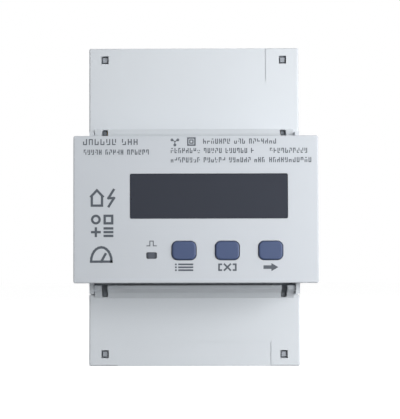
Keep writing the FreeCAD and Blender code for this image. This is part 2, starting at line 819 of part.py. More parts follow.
def push_button(x):
    """A rounded key with a stop flange and a stem that meets its switch at full travel."""
    wide, high = button_size
    y0 = front_y - button_proud
    cap = rounded_plate(around(x, wide), (y0, panel_back_y + 0.1), around(button_z, high), button_corner)
    cap = cap.makeFillet(0.5, edges_where(cap, lambda p: abs(p.y - y0) < 1e-6))
    stop_y = panel_back_y + 0.05
    stop = box(
        around(x, wide + 2 * flange),
        (stop_y, stop_y + flange_thickness),
        around(button_z, high + 2 * flange),
    )
    stem_end = board_y - switch_height - button_travel - 0.05
    stem = rod(1.5, (x, stop_y, button_z), (x, stem_end, button_z))
    return join([cap, stop, stem])


def tact_switches():
    """Three snap switches on the main board, one behind each button."""
    switches = []
    for x in button_x:
        body = box(around(x, switch_size), (board_y - 3.4, board_y), around(button_z, switch_size))
        dome = rod(1.7, (x, board_y - switch_height, button_z), (x, board_y - 3.3, button_z))
        switches.append(join([body, dome]))
    return switches


def main_board():
    """The board behind the panel, with holes for its four screws."""
    half_x = half_meter - wall - 0.8
    half_z = chamber_z - 0.7
    board = box((-half_x, half_x), (board_y, board_y + board_thickness), (-half_z, half_z))
    radius = board_screw_radius + gap
    ends = (board_y - 1, board_y + board_thickness + 1)
    return board.cut([rod(radius, (x, ends[0], z), (x, ends[1], z)) for x, z in boss_places])


def board_screws():
    """Four screws from behind that hold the main board to the cover's bosses."""
    screws = []
    back = board_y + board_thickness
    for x, z in boss_places:
        head = rod(board_screw_head, (x, back, z), (x, back + 1.4, z))
        recess = [
            box(around(x, 2.6), (back + 0.7, back + 2), around(z, 0.6)),
            box(around(x, 0.6), (back + 0.7, back + 2), around(z, 2.6)),
        ]
        shaft = rod(board_screw_radius, (x, board_y - 4.2, z), (x, back + 0.1, z))
        screws.append(join([head.cut(recess), shaft]))
    return screws


def board_chips():
    """Parts on the main board: the pulse lamp in front, and the chips behind."""
    back = board_y + board_thickness
    wide, deep, high = lamp_size
    parts = [box(around(lens_x, wide), (board_y - deep, board_y), around(lens_z, high))]
    for x, z, wide, high, tall in chips:
        parts.append(box(around(x, wide), (back, back + tall), around(z, high)))
    return parts


def power_board():
    """The supply and metering board on the housing's ribs."""
    half_x = half_inner - 3 * gap
    y = (-power_board_reach, -power_board_reach + board_thickness)
    return box((-half_x, half_x), y, (-power_half_z, power_half_z))


def board_header():
    """The row of pins that joins the two boards."""
    base_y = -power_board_reach
    wide = header_pins * header_pitch
    base = box(around(0, wide), (base_y - header_pitch, base_y), around(header_z, header_pitch))
    pins = []
    for i in range(header_pins):
        x = (i - (header_pins - 1) / 2) * header_pitch
        pins.append(rod(0.32, (x, board_y + board_thickness, header_z), (x, base_y - 2.4, header_z)))
    return join([base] + pins)


def supply_transformer():
    """A small transformer: a winding between the legs of its core."""
    wide, tall, high = transformer_size
    y = (-power_board_reach - tall, -power_board_reach)
    room = (around(transformer_x, winding_size[0]), around(0, winding_size[1]))
    core = box(around(transformer_x, wide), (y[0], y[1] - 0.8), around(0, high))
    core = core.cut(box(room[0], (y[0] - 1, y[1] + 1), room[1]))
    winding = rounded_plate(room[0], (y[0] + 0.6, y[1]), room[1], 1.5)
    return join([core, winding])


def capacitors():
    """Supply capacitors on the power board: three round cans and two film blocks."""
    base_y = -power_board_reach
    parts = []
    end_y = base_y - can_height
    for x, z, radius in cans:
        can = rod(radius, (x, end_y, z), (x, base_y, z))
        parts.append(can.makeFillet(0.5, edges_where(can, lambda p: p.y < end_y + 0.1)))
    wide, tall, high = film_size
    for x, z in films:
        parts.append(rounded_plate(around(x, wide), (base_y - tall, base_y), around(z, high), 0.5))
    return parts


def all_pieces():
    """Every piece by name; a list of solids is a group of identical or kindred parts."""
    pieces = {
        "base_housing": base_housing(),
        "rail_latch": rail_latch(),
        "latch_spring": latch_spring(),
        "top_terminal_block": top_terminal_block(),
        "bottom_terminal_block": bottom_terminal_block(),
        "signal_terminal_block": signal_terminal_block(),
        "block_screws": block_screws(),
        "phase_busbars": phase_busbars(),
        "current_transformers": current_transformers(),
        "signal_contacts": signal_contacts(),
        "power_board": power_board(),
        "supply_transformer": supply_transformer(),
        "capacitors": capacitors(),
        "board_header": board_header(),
        "main_board": main_board(),
        "board_chips": board_chips(),
        "board_screws": board_screws(),
        "tact_switches": tact_switches(),
        "lcd_frame": lcd_frame(),
        "lcd_glass": lcd_glass(),
        "front_cover": front_cover(),
        "display_window": display_window(),
        "pulse_lens": pulse_lens(),
        "top_terminal_cover": terminal_cover(1, top_reach, top_inset),
        "bottom_terminal_cover": terminal_cover(-1, bottom_reach, bottom_inset),
    }
    for name, x in zip(("left", "middle", "right"), button_x):
        pieces[f"{name}_button"] = push_button(x)
    for side, row in ((1, "top"), (-1, "bottom")):
        for number, x in enumerate(main_x, 1):
            pieces[f"{row}_screw_{number}"] = main_screw(x, side)
            pieces[f"{row}_clamp_{number}"] = main_clamp(x, side)
    for number, x in enumerate(signal_x, 1):
        pieces[f"signal_screw_{number}"] = signal_screw(x)
        pieces[f"signal_clamp_{number}"] = signal_clamp(x)
    return pieces


def main():
    """Write one STEP file per piece."""
    os.makedirs("parts", exist_ok=True)
    for name, shape in all_pieces().items():
        if isinstance(shape, list):
            shape = Part.makeCompound(shape)
        shape.exportStep(f"parts/{name}.step")


main()
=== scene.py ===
"""Looks of a rail-mounted smart electric meter: finishes, printed panel, terminal marks and studio."""

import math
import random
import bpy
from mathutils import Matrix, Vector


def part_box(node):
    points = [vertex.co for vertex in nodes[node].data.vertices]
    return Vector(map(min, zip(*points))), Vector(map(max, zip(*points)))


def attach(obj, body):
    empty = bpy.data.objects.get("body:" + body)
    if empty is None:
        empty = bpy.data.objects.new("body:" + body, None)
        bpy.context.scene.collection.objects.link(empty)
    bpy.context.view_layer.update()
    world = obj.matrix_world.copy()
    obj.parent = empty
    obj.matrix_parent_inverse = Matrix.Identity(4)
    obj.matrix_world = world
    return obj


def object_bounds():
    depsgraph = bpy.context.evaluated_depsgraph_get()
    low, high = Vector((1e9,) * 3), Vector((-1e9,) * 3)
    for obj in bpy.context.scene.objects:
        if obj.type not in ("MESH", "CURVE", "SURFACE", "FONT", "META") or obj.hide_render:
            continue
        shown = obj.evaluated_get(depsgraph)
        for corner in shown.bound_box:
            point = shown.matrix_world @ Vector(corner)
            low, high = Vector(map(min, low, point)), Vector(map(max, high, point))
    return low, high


bl_info = {
    "name": "Rail Meter Looks",
    "version": (1, 0, 0),
    "blender": (4, 5, 0),
    "location": "View3D > Sidebar > Meter",
    "description": "Finishes, printed panel, terminal marks and studio for a rail-mounted electric meter",
    "category": "Object",
}

import bmesh
import bpy
from bpy.props import FloatProperty, FloatVectorProperty, IntProperty, PointerProperty
from mathutils import Matrix, Vector

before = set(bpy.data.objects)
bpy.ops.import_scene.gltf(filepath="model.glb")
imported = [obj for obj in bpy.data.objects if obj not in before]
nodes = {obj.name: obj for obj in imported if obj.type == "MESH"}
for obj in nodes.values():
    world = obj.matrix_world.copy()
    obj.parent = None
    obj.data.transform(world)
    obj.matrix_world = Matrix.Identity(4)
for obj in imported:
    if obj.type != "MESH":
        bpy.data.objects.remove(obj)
cad_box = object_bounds()

MM = 0.001

WHITE = (1.0, 1.0, 1.0, 1.0)

# Scales of the mould texture, and stretches that make hairlines run along one axis.
FINE_GRAIN = 5200.0
COARSE_GRAIN = 4200.0
ALONG_X = (60.0, 2500.0, 2500.0)
ALONG_Y = (2500.0, 60.0, 2500.0)
ALONG_Z = (2500.0, 2500.0, 60.0)

# Each soft box: its place from the object's middle and its side, in metres, and whether gloss shows it.
SOFT_BOXES = {
    "key": ((0.21, -0.2, 0.025), 0.16, True),
    "fill": ((-0.35, -0.4, 0.25), 0.4, True),
    "low": ((0.1, -0.5, -0.015), 0.2, False),
    "rear": ((-0.25, 0.5, 0.3), 0.4, True),
}


def tint(red, green, blue):
    """A linear colour from 0-255 display values."""
    levels = [level / 255 for level in (red, green, blue)]
    return tuple(v / 12.92 if v < 0.04045 else ((v + 0.055) / 1.055) ** 2.4 for v in levels)


def length(name, description, value):
    """A size property in metres."""
    return FloatProperty(
        name=name, description=description, default=value, min=0.0, unit="LENGTH", precision=5
    )


def shift(name, description, value):
    """A place property in metres, on either side of zero."""
    return FloatProperty(name=name, description=description, default=value, unit="LENGTH")


def angle(name, description, degrees):
    """A turn property."""
    return FloatProperty(
        name=name, description=description, default=math.radians(degrees), unit="ROTATION"
    )


def power(name, description, value):
    """A light's power property in watts."""
    return FloatProperty(name=name, description=description, default=value, unit="POWER")


def colour(name, description, value):
    """A colour property."""
    return FloatVectorProperty(
        name=name, description=description, default=value, size=3, min=0.0, max=1.0, subtype="COLOR"
    )


class MeterColours(bpy.types.PropertyGroup):
    """Colours of the meter's finishes."""

    front: colour("Front panel", "Raised front cover", tint(192, 197, 203))
    cover: colour("Terminal covers", "The two hinged covers", tint(206, 211, 216))
    housing: colour("Housing", "Base housing", tint(203, 208, 213))
    terminal: colour("Terminal blocks", "Mouldings that hold the terminals", tint(150, 155, 162))
    window: colour("Display window", "Smoked insert over the display", tint(50, 54, 64))
    key: colour("Keys", "The three push buttons", tint(69, 83, 117))
    lens: colour("Pulse lens", "Light guide of the pulse lamp", tint(67, 71, 79))
    ink: colour("Print", "Ink of the marks on the panel", tint(84, 90, 98))
    latch: colour("Rail latch", "Sliding latch at the back", tint(60, 63, 68))


class MeterPrint(bpy.types.PropertyGroup):
    """Sizes of the printed marks."""

    ink_depth: length("Ink depth", "How far the ink stands off the panel", 0.02 * MM)
    title_height: length("Title height", "Height of the larger line", 1.75 * MM)
    text_height: length("Text height", "Height of the small lines", 1.5 * MM)
    icon_stroke: length("Icon stroke", "Line width of the large marks", 0.7 * MM)
    caption_height: length("Caption height", "Height of the key captions", 2.2 * MM)
    numeral_height: length("Numeral height", "Height of the terminal numbers", 2.4 * MM)
    seed: IntProperty(name="Filler seed", description="Pattern of the filler characters", default=7)


class MeterStudio(bpy.types.PropertyGroup):
    """Camera and lights."""

    focal: FloatProperty(
        name="Focal length", description="Camera lens in millimetres", default=82.7, unit="CAMERA"
    )
    distance: length("Distance", "Camera ahead of the panel's face", 282.1 * MM)
    side: shift("Side", "Camera to the right of the panel's centre", -7.6 * MM)
    rise: shift("Rise", "Camera above the panel's centre", -18.8 * MM)
    heading: angle("Heading", "Turn to the right", -0.41)
    tilt: angle("Tilt", "Turn upwards", 1.57)
    roll: angle("Roll", "Turn about the line of sight", -0.11)
    shift_x: FloatProperty(name="Shift right", description="Lens shift of the frame", default=0.088)
    shift_z: FloatProperty(name="Shift up", description="Lens shift of the frame", default=0.0893)
    key_power: power("Key light", "Soft box at the right, about level with the panel", 0.72)
    fill_power: power("Fill light", "Large soft box at the upper left", 0.25)
    low_power: power("Low light", "Soft box ahead of the lower cover", 0.68)
    rear_power: power("Rear light", "Large soft box behind", 0.9)
    ambient: FloatProperty(name="Ambient", description="Brightness of the surroundings", default=0.42)


# ---- Shader groups ----
def new_group(name, inputs, outputs):
    """An empty shader group with named sockets."""
    tree = bpy.data.node_groups.new(name, "ShaderNodeTree")
    for label, kind, value in inputs:
        socket = tree.interface.new_socket(label, in_out="INPUT", socket_type=kind)
        socket.default_value = value
    for label, kind in outputs:
        tree.interface.new_socket(label, in_out="OUTPUT", socket_type=kind)
    return tree, tree.nodes.new("NodeGroupInput"), tree.nodes.new("NodeGroupOutput")


def math_node(tree, operation, first, second):
    """A Math node; each operand is a socket or a number."""
    node = tree.nodes.new("ShaderNodeMath")
    node.operation = operation
    for slot, value in enumerate((first, second)):
        if isinstance(value, bpy.types.NodeSocket):
            tree.links.new(value, node.inputs[slot])
        else:
            node.inputs[slot].default_value = value
    return node.outputs[0]


def noise_node(tree, vector, scale, detail):
    """A noise texture's value; the scale is a socket or a number."""
    node = tree.nodes.new("ShaderNodeTexNoise")
    tree.links.new(vector, node.inputs["Vector"])
    node.inputs["Detail"].default_value = detail
    if isinstance(scale, bpy.types.NodeSocket):
        tree.links.new(scale, node.inputs["Scale"])
    else:
        node.inputs["Scale"].default_value = scale
    return node.outputs[0]


def spread(tree, value, low=0.3, high=0.7):
    """Stretches a value's useful middle over 0 to 1."""
    node = tree.nodes.new("ShaderNodeMapRange")
    tree.links.new(value, node.inputs["Value"])
    node.inputs["From Min"].default_value = low
    node.inputs["From Max"].default_value = high
    return node.outputs[0]


def object_coordinates(tree):
    """The piece's own coordinates."""
    return tree.nodes.new("ShaderNodeTexCoord").outputs["Object"]


def moulded_grain_group():
    """Fine spark-eroded mould texture: a height, and a sheen that varies with it."""
    tree, start, end = new_group(
        "Moulded Grain",
        [("Scale", "NodeSocketFloat", FINE_GRAIN), ("Roughness", "NodeSocketFloat", 0.5),
         ("Amount", "NodeSocketFloat", 0.1)],
        [("Height", "NodeSocketFloat"), ("Roughness", "NodeSocketFloat")],
    )
    where = object_coordinates(tree)
    fine = noise_node(tree, where, start.outputs["Scale"], 2.0)
    broad = noise_node(tree, where, 90.0, 2.0)
    tree.links.new(fine, end.inputs["Height"])
    swing = math_node(tree, "SUBTRACT", spread(tree, broad), 0.5)
    change = math_node(tree, "MULTIPLY", swing, start.outputs["Amount"])
    tree.links.new(math_node(tree, "ADD", change, start.outputs["Roughness"]), end.inputs["Roughness"])
    return tree


def tone_drift_group():
    """Slow drift of tone over a moulding, with a trace of handling grime."""
    tree, start, end = new_group(
        "Tone Drift",
        [("Colour", "NodeSocketColor", (0.5, 0.5, 0.5, 1.0)),
         ("Grime", "NodeSocketColor", (0.3, 0.28, 0.25, 1.0)),
         ("Scale", "NodeSocketFloat", 45.0), ("Amount", "NodeSocketFloat", 0.06)],
        [("Colour", "NodeSocketColor")],
    )
    where = object_coordinates(tree)
    patch = spread(tree, noise_node(tree, where, start.outputs["Scale"], 4.0), 0.35, 0.75)
    blend = tree.nodes.new("ShaderNodeMix")
    blend.data_type = "RGBA"
    tree.links.new(math_node(tree, "MULTIPLY", patch, start.outputs["Amount"]), blend.inputs["Factor"])
    tree.links.new(start.outputs["Colour"], blend.inputs[6])
    tree.links.new(start.outputs["Grime"], blend.inputs[7])
    tree.links.new(blend.outputs[2], end.inputs["Colour"])
    return tree


def hairline_group():
    """Fine lines along one direction, as drawing, rolling or wiping leaves."""
    tree, start, end = new_group(
        "Hairlines",
        [("Stretch", "NodeSocketVector", ALONG_X), ("Roughness", "NodeSocketFloat", 0.3),
         ("Amount", "NodeSocketFloat", 0.2)],
        [("Height", "NodeSocketFloat"), ("Roughness", "NodeSocketFloat")],
    )
    stretch = tree.nodes.new("ShaderNodeVectorMath")
    stretch.operation = "MULTIPLY"
    tree.links.new(object_coordinates(tree), stretch.inputs[0])
    tree.links.new(start.outputs["Stretch"], stretch.inputs[1])
    lines = noise_node(tree, stretch.outputs[0], 1.0, 3.0)
    tree.links.new(lines, end.inputs["Height"])
    change = math_node(tree, "MULTIPLY", spread(tree, lines), start.outputs["Amount"])
    tree.links.new(math_node(tree, "ADD", change, start.outputs["Roughness"]), end.inputs["Roughness"])
    return tree


SHADER_GROUPS = {}


def shader_group(tree, name):
    """Places one of the shared groups, which is built the first time it is asked for."""
    makers = {"grain": moulded_grain_group, "drift": tone_drift_group, "hairlines": hairline_group}
    if name not in SHADER_GROUPS:
        SHADER_GROUPS[name] = makers[name]()
    node = tree.nodes.new("ShaderNodeGroup")
    node.node_tree = SHADER_GROUPS[name]
    return node


def new_material(name):
    """A material with its tree and its Principled shader."""
    material = bpy.data.materials.new(name)
    material.use_nodes = True
    return material, material.node_tree, material.node_tree.nodes["Principled BSDF"]


def add_bump(tree, shader, height, distance, strength):
    """Feeds a height to the shader's normal."""
    bump = tree.nodes.new("ShaderNodeBump")
    bump.inputs["Strength"].default_value = strength
    bump.inputs["Distance"].default_value = distance
    tree.links.new(height, bump.inputs["Height"])
    tree.links.new(bump.outputs["Normal"], shader.inputs["Normal"])


def shade(colour_value, share=1.0):
    """A colour made darker or lighter, with its alpha."""
    return (*[share * level for level in colour_value], 1.0)


def moulded_plastic(name, colour_value, roughness, grain=FINE_GRAIN, depth=0.02 * MM, grime=0.05):
    """Moulded plastic: fine grain, a sheen that varies, and a slow drift of tone."""
    material, tree, shader = new_material(name)
    texture = shader_group(tree, "grain")
    texture.inputs["Scale"].default_value = grain
    texture.inputs["Roughness"].default_value = roughness
    texture.inputs["Amount"].default_value = 0.12
    drift = shader_group(tree, "drift")
    drift.inputs["Colour"].default_value = shade(colour_value)
    drift.inputs["Grime"].default_value = shade(colour_value, 0.62)
    drift.inputs["Amount"].default_value = grime
    tree.links.new(drift.outputs["Colour"], shader.inputs["Base Color"])
    tree.links.new(texture.outputs["Roughness"], shader.inputs["Roughness"])
    shader.inputs["Specular IOR Level"].default_value = 0.45
    add_bump(tree, shader, texture.outputs["Height"], depth, 0.35)
    return material


def drawn_metal(name, colour_value, roughness, stretch=ALONG_Y):
    """Plated or rolled metal with hairlines and a little tarnish."""
    material, tree, shader = new_material(name)
    lines = shader_group(tree, "hairlines")
    lines.inputs["Stretch"].default_value = stretch
    lines.inputs["Roughness"].default_value = roughness
    lines.inputs["Amount"].default_value = 0.18
    drift = shader_group(tree, "drift")
    drift.inputs["Colour"].default_value = shade(colour_value)
    drift.inputs["Grime"].default_value = shade(colour_value, 0.45)
    drift.inputs["Scale"].default_value = 400.0
    drift.inputs["Amount"].default_value = 0.1
    tree.links.new(drift.outputs["Colour"], shader.inputs["Base Color"])
    tree.links.new(lines.outputs["Roughness"], shader.inputs["Roughness"])
    shader.inputs["Metallic"].default_value = 1.0
    add_bump(tree, shader, lines.outputs["Height"], 0.01 * MM, 0.25)
    return material


def smoked_plastic(name, colour_value, alpha, roughness):
    """Clear tinted plastic with a polished face and faint wipe marks."""
    material, tree, shader = new_material(name)
    lines = shader_group(tree, "hairlines")
    lines.inputs["Stretch"].default_value = (45.0, 900.0, 700.0)
    lines.inputs["Roughness"].default_value = roughness
    lines.inputs["Amount"].default_value = 0.05
    drift = shader_group(tree, "drift")
    drift.inputs["Colour"].default_value = shade(colour_value)
    drift.inputs["Grime"].default_value = shade(colour_value, 1.35)
    drift.inputs["Amount"].default_value = 0.12
    tree.links.new(drift.outputs["Colour"], shader.inputs["Base Color"])
    tree.links.new(lines.outputs["Roughness"], shader.inputs["Roughness"])
    shader.inputs["Alpha"].default_value = alpha
    shader.inputs["Specular IOR Level"].default_value = 0.5
    return material


def light_guide(name, colour_value):
    """Cloudy clear plastic with painted light in its colour: a painted highlight in the middle of its pane
    and painted shade towards both ends.
    """
    material, tree, shader = new_material(name)
    offset = tree.nodes.new("ShaderNodeVectorMath")
    offset.operation = "SUBTRACT"
    offset.inputs[1].default_value = centre_of("pulse_lens")
    tree.links.new(object_coordinates(tree), offset.inputs[0])
    split = tree.nodes.new("ShaderNodeSeparateXYZ")
    tree.links.new(offset.outputs["Vector"], split.inputs["Vector"])
    across = math_node(tree, "ABSOLUTE", split.outputs["X"], 0.0)
    # Painted light: the base colour is half again as bright in the middle of the pane and darkened by
    # painted shade towards both ends.
    lit_middle_shaded_ends = tree.nodes.new("ShaderNodeMix")
    lit_middle_shaded_ends.data_type = "RGBA"
    lit_middle_shaded_ends.inputs[6].default_value = shade(colour_value, 1.5)
    lit_middle_shaded_ends.inputs[7].default_value = shade(colour_value, 0.8)
    tree.links.new(spread(tree, across, 0.6 * MM, 1.3 * MM), lit_middle_shaded_ends.inputs["Factor"])
    lines = shader_group(tree, "hairlines")
    lines.inputs["Stretch"].default_value = (900.0, 900.0, 900.0)
    lines.inputs["Roughness"].default_value = 0.28
    lines.inputs["Amount"].default_value = 0.12
    tree.links.new(lit_middle_shaded_ends.outputs[2], shader.inputs["Base Color"])
    tree.links.new(lines.outputs["Roughness"], shader.inputs["Roughness"])
    return material


def board_laminate(name):
    """Solder-masked laminate: green, with lighter copper runs under the mask."""
    material, tree, shader = new_material(name)
    where = object_coordinates(tree)
    runs = tree.nodes.new("ShaderNodeTexBrick")
    runs.inputs["Scale"].default_value = 180.0
    runs.inputs["Mortar Size"].default_value = 0.035
    runs.inputs["Color1"].default_value = shade(tint(18, 74, 44))
    runs.inputs["Color2"].default_value = shade(tint(14, 64, 38))
    runs.inputs["Mortar"].default_value = shade(tint(44, 118, 74))
    turn = tree.nodes.new("ShaderNodeMapping")
    turn.inputs["Rotation"].default_value = (math.radians(90), 0.0, 0.0)
    tree.links.new(where, turn.inputs["Vector"])
    tree.links.new(turn.outputs["Vector"], runs.inputs["Vector"])
    tree.links.new(runs.outputs["Color"], shader.inputs["Base Color"])
    shader.inputs["Roughness"].default_value = 0.35
    add_bump(tree, shader, runs.outputs["Fac"], 0.03 * MM, 0.4)
    return material


# ---- Shape helpers ----
def place(x, y, z, turn=0.0):
    """Moves to a point after a turn in the panel's plane."""
    return Matrix.Translation((x, y, z)) @ Matrix.Rotation(turn, 4, "Y")


class Print:
    """Flat marks on a face that looks towards -Y."""

    THICKNESSES = 12
    THICKNESS_STEP = 0.05

    # The first two are shares of the step between letters, the third is a share of their height.
    LETTER_WIDTH = 0.68
    WORD_GAP = 0.7
    PEN_WIDTH = 0.17

    FINE_PEN = 0.26 * MM

    def __init__(self, face_y, depth):
        self.bm = bmesh.new()
        self.depth = depth
        self.y = face_y - depth / 2
        self.bars = 0

    def bar(self, x, z, wide, high, turn=0.0):
        """A flat bar about its centre, a little thicker or thinner than the last, as bars may cross."""
        self.bars = (self.bars + 1) % self.THICKNESSES
        thickness = 2 * self.depth * (1 + self.THICKNESS_STEP * self.bars)
        made = bmesh.ops.create_cube(self.bm, size=1.0)["verts"]
        size = Matrix.Diagonal((wide, thickness, high, 1.0))
        bmesh.ops.transform(self.bm, matrix=place(x, self.y, z, turn) @ size, verts=made)

    def stroke(self, start, finish, width):
        """A bar from one point to another."""
        dx = finish[0] - start[0]
        dz = finish[1] - start[1]
        middle = ((start[0] + finish[0]) / 2, (start[1] + finish[1]) / 2)
        self.bar(*middle, math.hypot(dx, dz) + width, width, -math.atan2(dz, dx))

    def path(self, points, width):
        """Bars from each point to the next."""
        for start, finish in zip(points, points[1:]):
            self.stroke(start, finish, width)

    def outline(self, x, z, wide, high, width):
        """A rectangular outline of four bars."""
        for side in (-1, 1):
            self.bar(x, z + side * (high - width) / 2, wide, width)
            self.bar(x + side * (wide - width) / 2, z, width, high - 2 * width)

    def arrowhead(self, x, z, radius):
        """A flat triangle that points to the right, from its middle to its corners."""
        made = bmesh.ops.create_cone(
            self.bm, cap_ends=True, segments=3, radius1=radius, radius2=radius, depth=2 * self.depth
        )["verts"]
        upright = Matrix.Rotation(math.radians(90), 4, "X")
        turned = place(x, self.y, z, math.radians(90)) @ upright
        bmesh.ops.transform(self.bm, matrix=turned, verts=made)

    def ring(self, x, z, outer, inner, sides=28):
        """A flat ring from two circles."""
        rims = []
        for radius in (outer, inner):
            made = bmesh.ops.create_circle(self.bm, cap_ends=False, segments=sides, radius=radius)["verts"]
            rims += dict.fromkeys(edge for vert in made for edge in vert.link_edges)
        faces = bmesh.ops.bridge_loops(self.bm, edges=rims)["faces"]
        flat = list(dict.fromkeys(vert for face in faces for vert in face.verts))
        upright = Matrix.Rotation(math.radians(90), 4, "X")
        bmesh.ops.transform(self.bm, matrix=place(x, self.y + self.depth, z) @ upright, verts=flat)
        raised = bmesh.ops.extrude_face_region(self.bm, geom=faces, use_keep_orig=True)["geom"]
        moved = [item for item in raised if isinstance(item, bmesh.types.BMVert)]
        bmesh.ops.translate(self.bm, vec=(0, -2 * self.depth, 0), verts=moved)

    def filler(self, x, z, high, wide, rng):
        """One made-up character: two posts of uneven height and a crossbar."""
        pen = self.PEN_WIDTH * high
        inner = wide - pen
        for side in (-1, 1):
            foot = rng.choice((0.0, 0.0, 0.4))
            top = rng.choice((0.6, 1.0, 1.0))
            self.bar(x + side * inner / 2, z + high * (foot + top) / 2, pen, high * (top - foot))
        self.bar(x, z + high * rng.choice((0.08, 0.5, 0.92)), inner, pen)

    def line(self, left, right, z, high, words, rng):
        """A line of filler words between two ends; words holds the letters in each."""
        step = (right - left) / (sum(words) + self.WORD_GAP * (len(words) - 1))
        x = left + step / 2
        for letters in words:
            for _ in range(letters):
                self.filler(x, z, high, self.LETTER_WIDTH * step, rng)
                x += step
            x += self.WORD_GAP * step

    def finish(self, name):
        """Makes the marks one piece in the panel's ink, with its faces in the same order each run."""
        ordered = sorted(self.bm.faces, key=lambda face: tuple(face.calc_center_median()))
        for index, face in enumerate(ordered):
            face.index = index
        self.bm.faces.sort()
        new_piece(name, self.bm, ink(), "root")


def new_piece(name, bm, material, body):
    """Turns a bmesh into an object that rides on a body."""
    bmesh.ops.recalc_face_normals(bm, faces=bm.faces)
    mesh = bpy.data.meshes.new(name)
    bm.to_mesh(mesh)
    bm.free()
    mesh.materials.append(material)
    piece = bpy.data.objects.new(name, mesh)
    bpy.context.scene.collection.objects.link(piece)
    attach(piece, body)


def dress(material, *names):
    """Gives CAD nodes their finish."""
    for name in names:
        slots = nodes[name].data.materials
        slots.clear()
        slots.append(material)


def starting_with(start):
    """Names of the CAD nodes that begin this way, in order."""
    return [name for name in sorted(nodes) if name.startswith(start)]


def centre_of(name):
    """Middle of a node's box."""
    low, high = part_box(name)
    return (low + high) / 2


def panel_face():
    """The front cover's middle on its face, and its half sizes."""
    low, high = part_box("front_cover")
    middle = Vector(((low.x + high.x) / 2, low.y, (low.z + high.z) / 2))
    return middle, (high.x - low.x) / 2, (high.z - low.z) / 2


def ink():
    """The panel's ink, made once."""
    found = bpy.data.materials.get("panel_ink")
    if found:
        return found
    hue = bpy.context.scene.meter_colours.ink
    return moulded_plastic("panel_ink", hue, 0.55, 6000.0, 0.004 * MM, 0.1)


def by_camera(tree, otherwise, seen):
    """A number for the stage alone: one value as the camera sees it, another for all other light."""
    choice = tree.nodes.new("ShaderNodeMapRange")
    choice.inputs["To Min"].default_value = otherwise
    choice.inputs["To Max"].default_value = seen
    path = tree.nodes.new("ShaderNodeLightPath")
    tree.links.new(path.outputs["Is Camera Ray"], choice.inputs["Value"])
    return choice.outputs[0]


# ---- Operators ----
class METER_OT_mouldings(bpy.types.Operator):
    """Finishes of the housing, front cover, terminal covers, blocks and latch"""

    bl_idname = "meter.mouldings"
    bl_label = "Mouldings"

    def execute(self, context):
        hues = context.scene.meter_colours
        dress(moulded_plastic("front_plastic", hues.front, 0.48), "front_cover")
        covers = ("top_terminal_cover", "bottom_terminal_cover")
        dress(moulded_plastic("cover_plastic", hues.cover, 0.46), *covers)
        dress(moulded_plastic("housing_plastic", hues.housing, 0.5), "base_housing")
        blocks = ("top_terminal_block", "bottom_terminal_block", "signal_terminal_block")
        dress(moulded_plastic("terminal_plastic", hues.terminal, 0.55, COARSE_GRAIN), *blocks)
        dress(moulded_plastic("latch_plastic", hues.latch, 0.5, COARSE_GRAIN), "rail_latch")
        return {"FINISHED"}


class METER_OT_display(bpy.types.Operator):
    """Smoked window, display glass and its frame"""

    bl_idname = "meter.display"
    bl_label = "Display"

    def execute(self, context):
        hues = context.scene.meter_colours
        dress(smoked_plastic("smoked_window", hues.window, 0.93, 0.16), "display_window")
        dress(smoked_plastic("display_glass", tint(58, 64, 60), 1.0, 0.08), "lcd_glass")
        dress(moulded_plastic("frame_plastic", tint(70, 72, 76), 0.6), "lcd_frame")
        return {"FINISHED"}


class METER_OT_keys(bpy.types.Operator):
    """Push buttons and pulse lens"""

    bl_idname = "meter.keys"
    bl_label = "Keys"

    def execute(self, context):
        hues = context.scene.meter_colours
        key = moulded_plastic("key_plastic", hues.key, 0.42, 7000.0, 0.01 * MM, 0.1)
        dress(key, "left_button", "middle_button", "right_button")
        dress(light_guide("lens_plastic", hues.lens), "pulse_lens")
        return {"FINISHED"}


class METER_OT_metalwork(bpy.types.Operator):
    """Screws, clamps, busbars, contacts and spring"""

    bl_idname = "meter.metalwork"
    bl_label = "Metalwork"

    def execute(self, context):
        zinc = drawn_metal("zinc_plate", tint(196, 198, 202), 0.26)
        screws = [name for name in nodes if "_screw_" in name]
        dress(zinc, "board_screws", "block_screws", *screws)
        clamps = [name for name in nodes if "_clamp_" in name]
        dress(drawn_metal("clamp_steel", tint(168, 168, 166), 0.34, ALONG_X), *clamps)
        brass = drawn_metal("bar_brass", tint(201, 170, 102), 0.3, ALONG_Z)
        dress(brass, "phase_busbars", "signal_contacts")
        dress(drawn_metal("spring_wire", tint(150, 150, 154), 0.3), "latch_spring")
        return {"FINISHED"}


class METER_OT_electronics(bpy.types.Operator):
    """Boards and the parts on them"""

    bl_idname = "meter.electronics"
    bl_label = "Electronics"

    def execute(self, context):
        dress(board_laminate("board_laminate"), "main_board", "power_board")
        dress(moulded_plastic("chip_epoxy", tint(38, 38, 40), 0.6, 9000.0), "board_chips")
        dress(drawn_metal("switch_steel", tint(190, 190, 192), 0.35), "tact_switches")
        dress(drawn_metal("tinned_pins", tint(206, 190, 140), 0.3), "board_header")
        dress(moulded_plastic("capacitor_sleeve", tint(34, 44, 92), 0.35, 3000.0), "capacitors")
        dress(moulded_plastic("winding_tape", tint(214, 178, 60), 0.32, 2500.0), "supply_transformer")
        dress(moulded_plastic("ring_epoxy", tint(40, 62, 122), 0.4, 3000.0), "current_transformers")
        return {"FINISHED"}


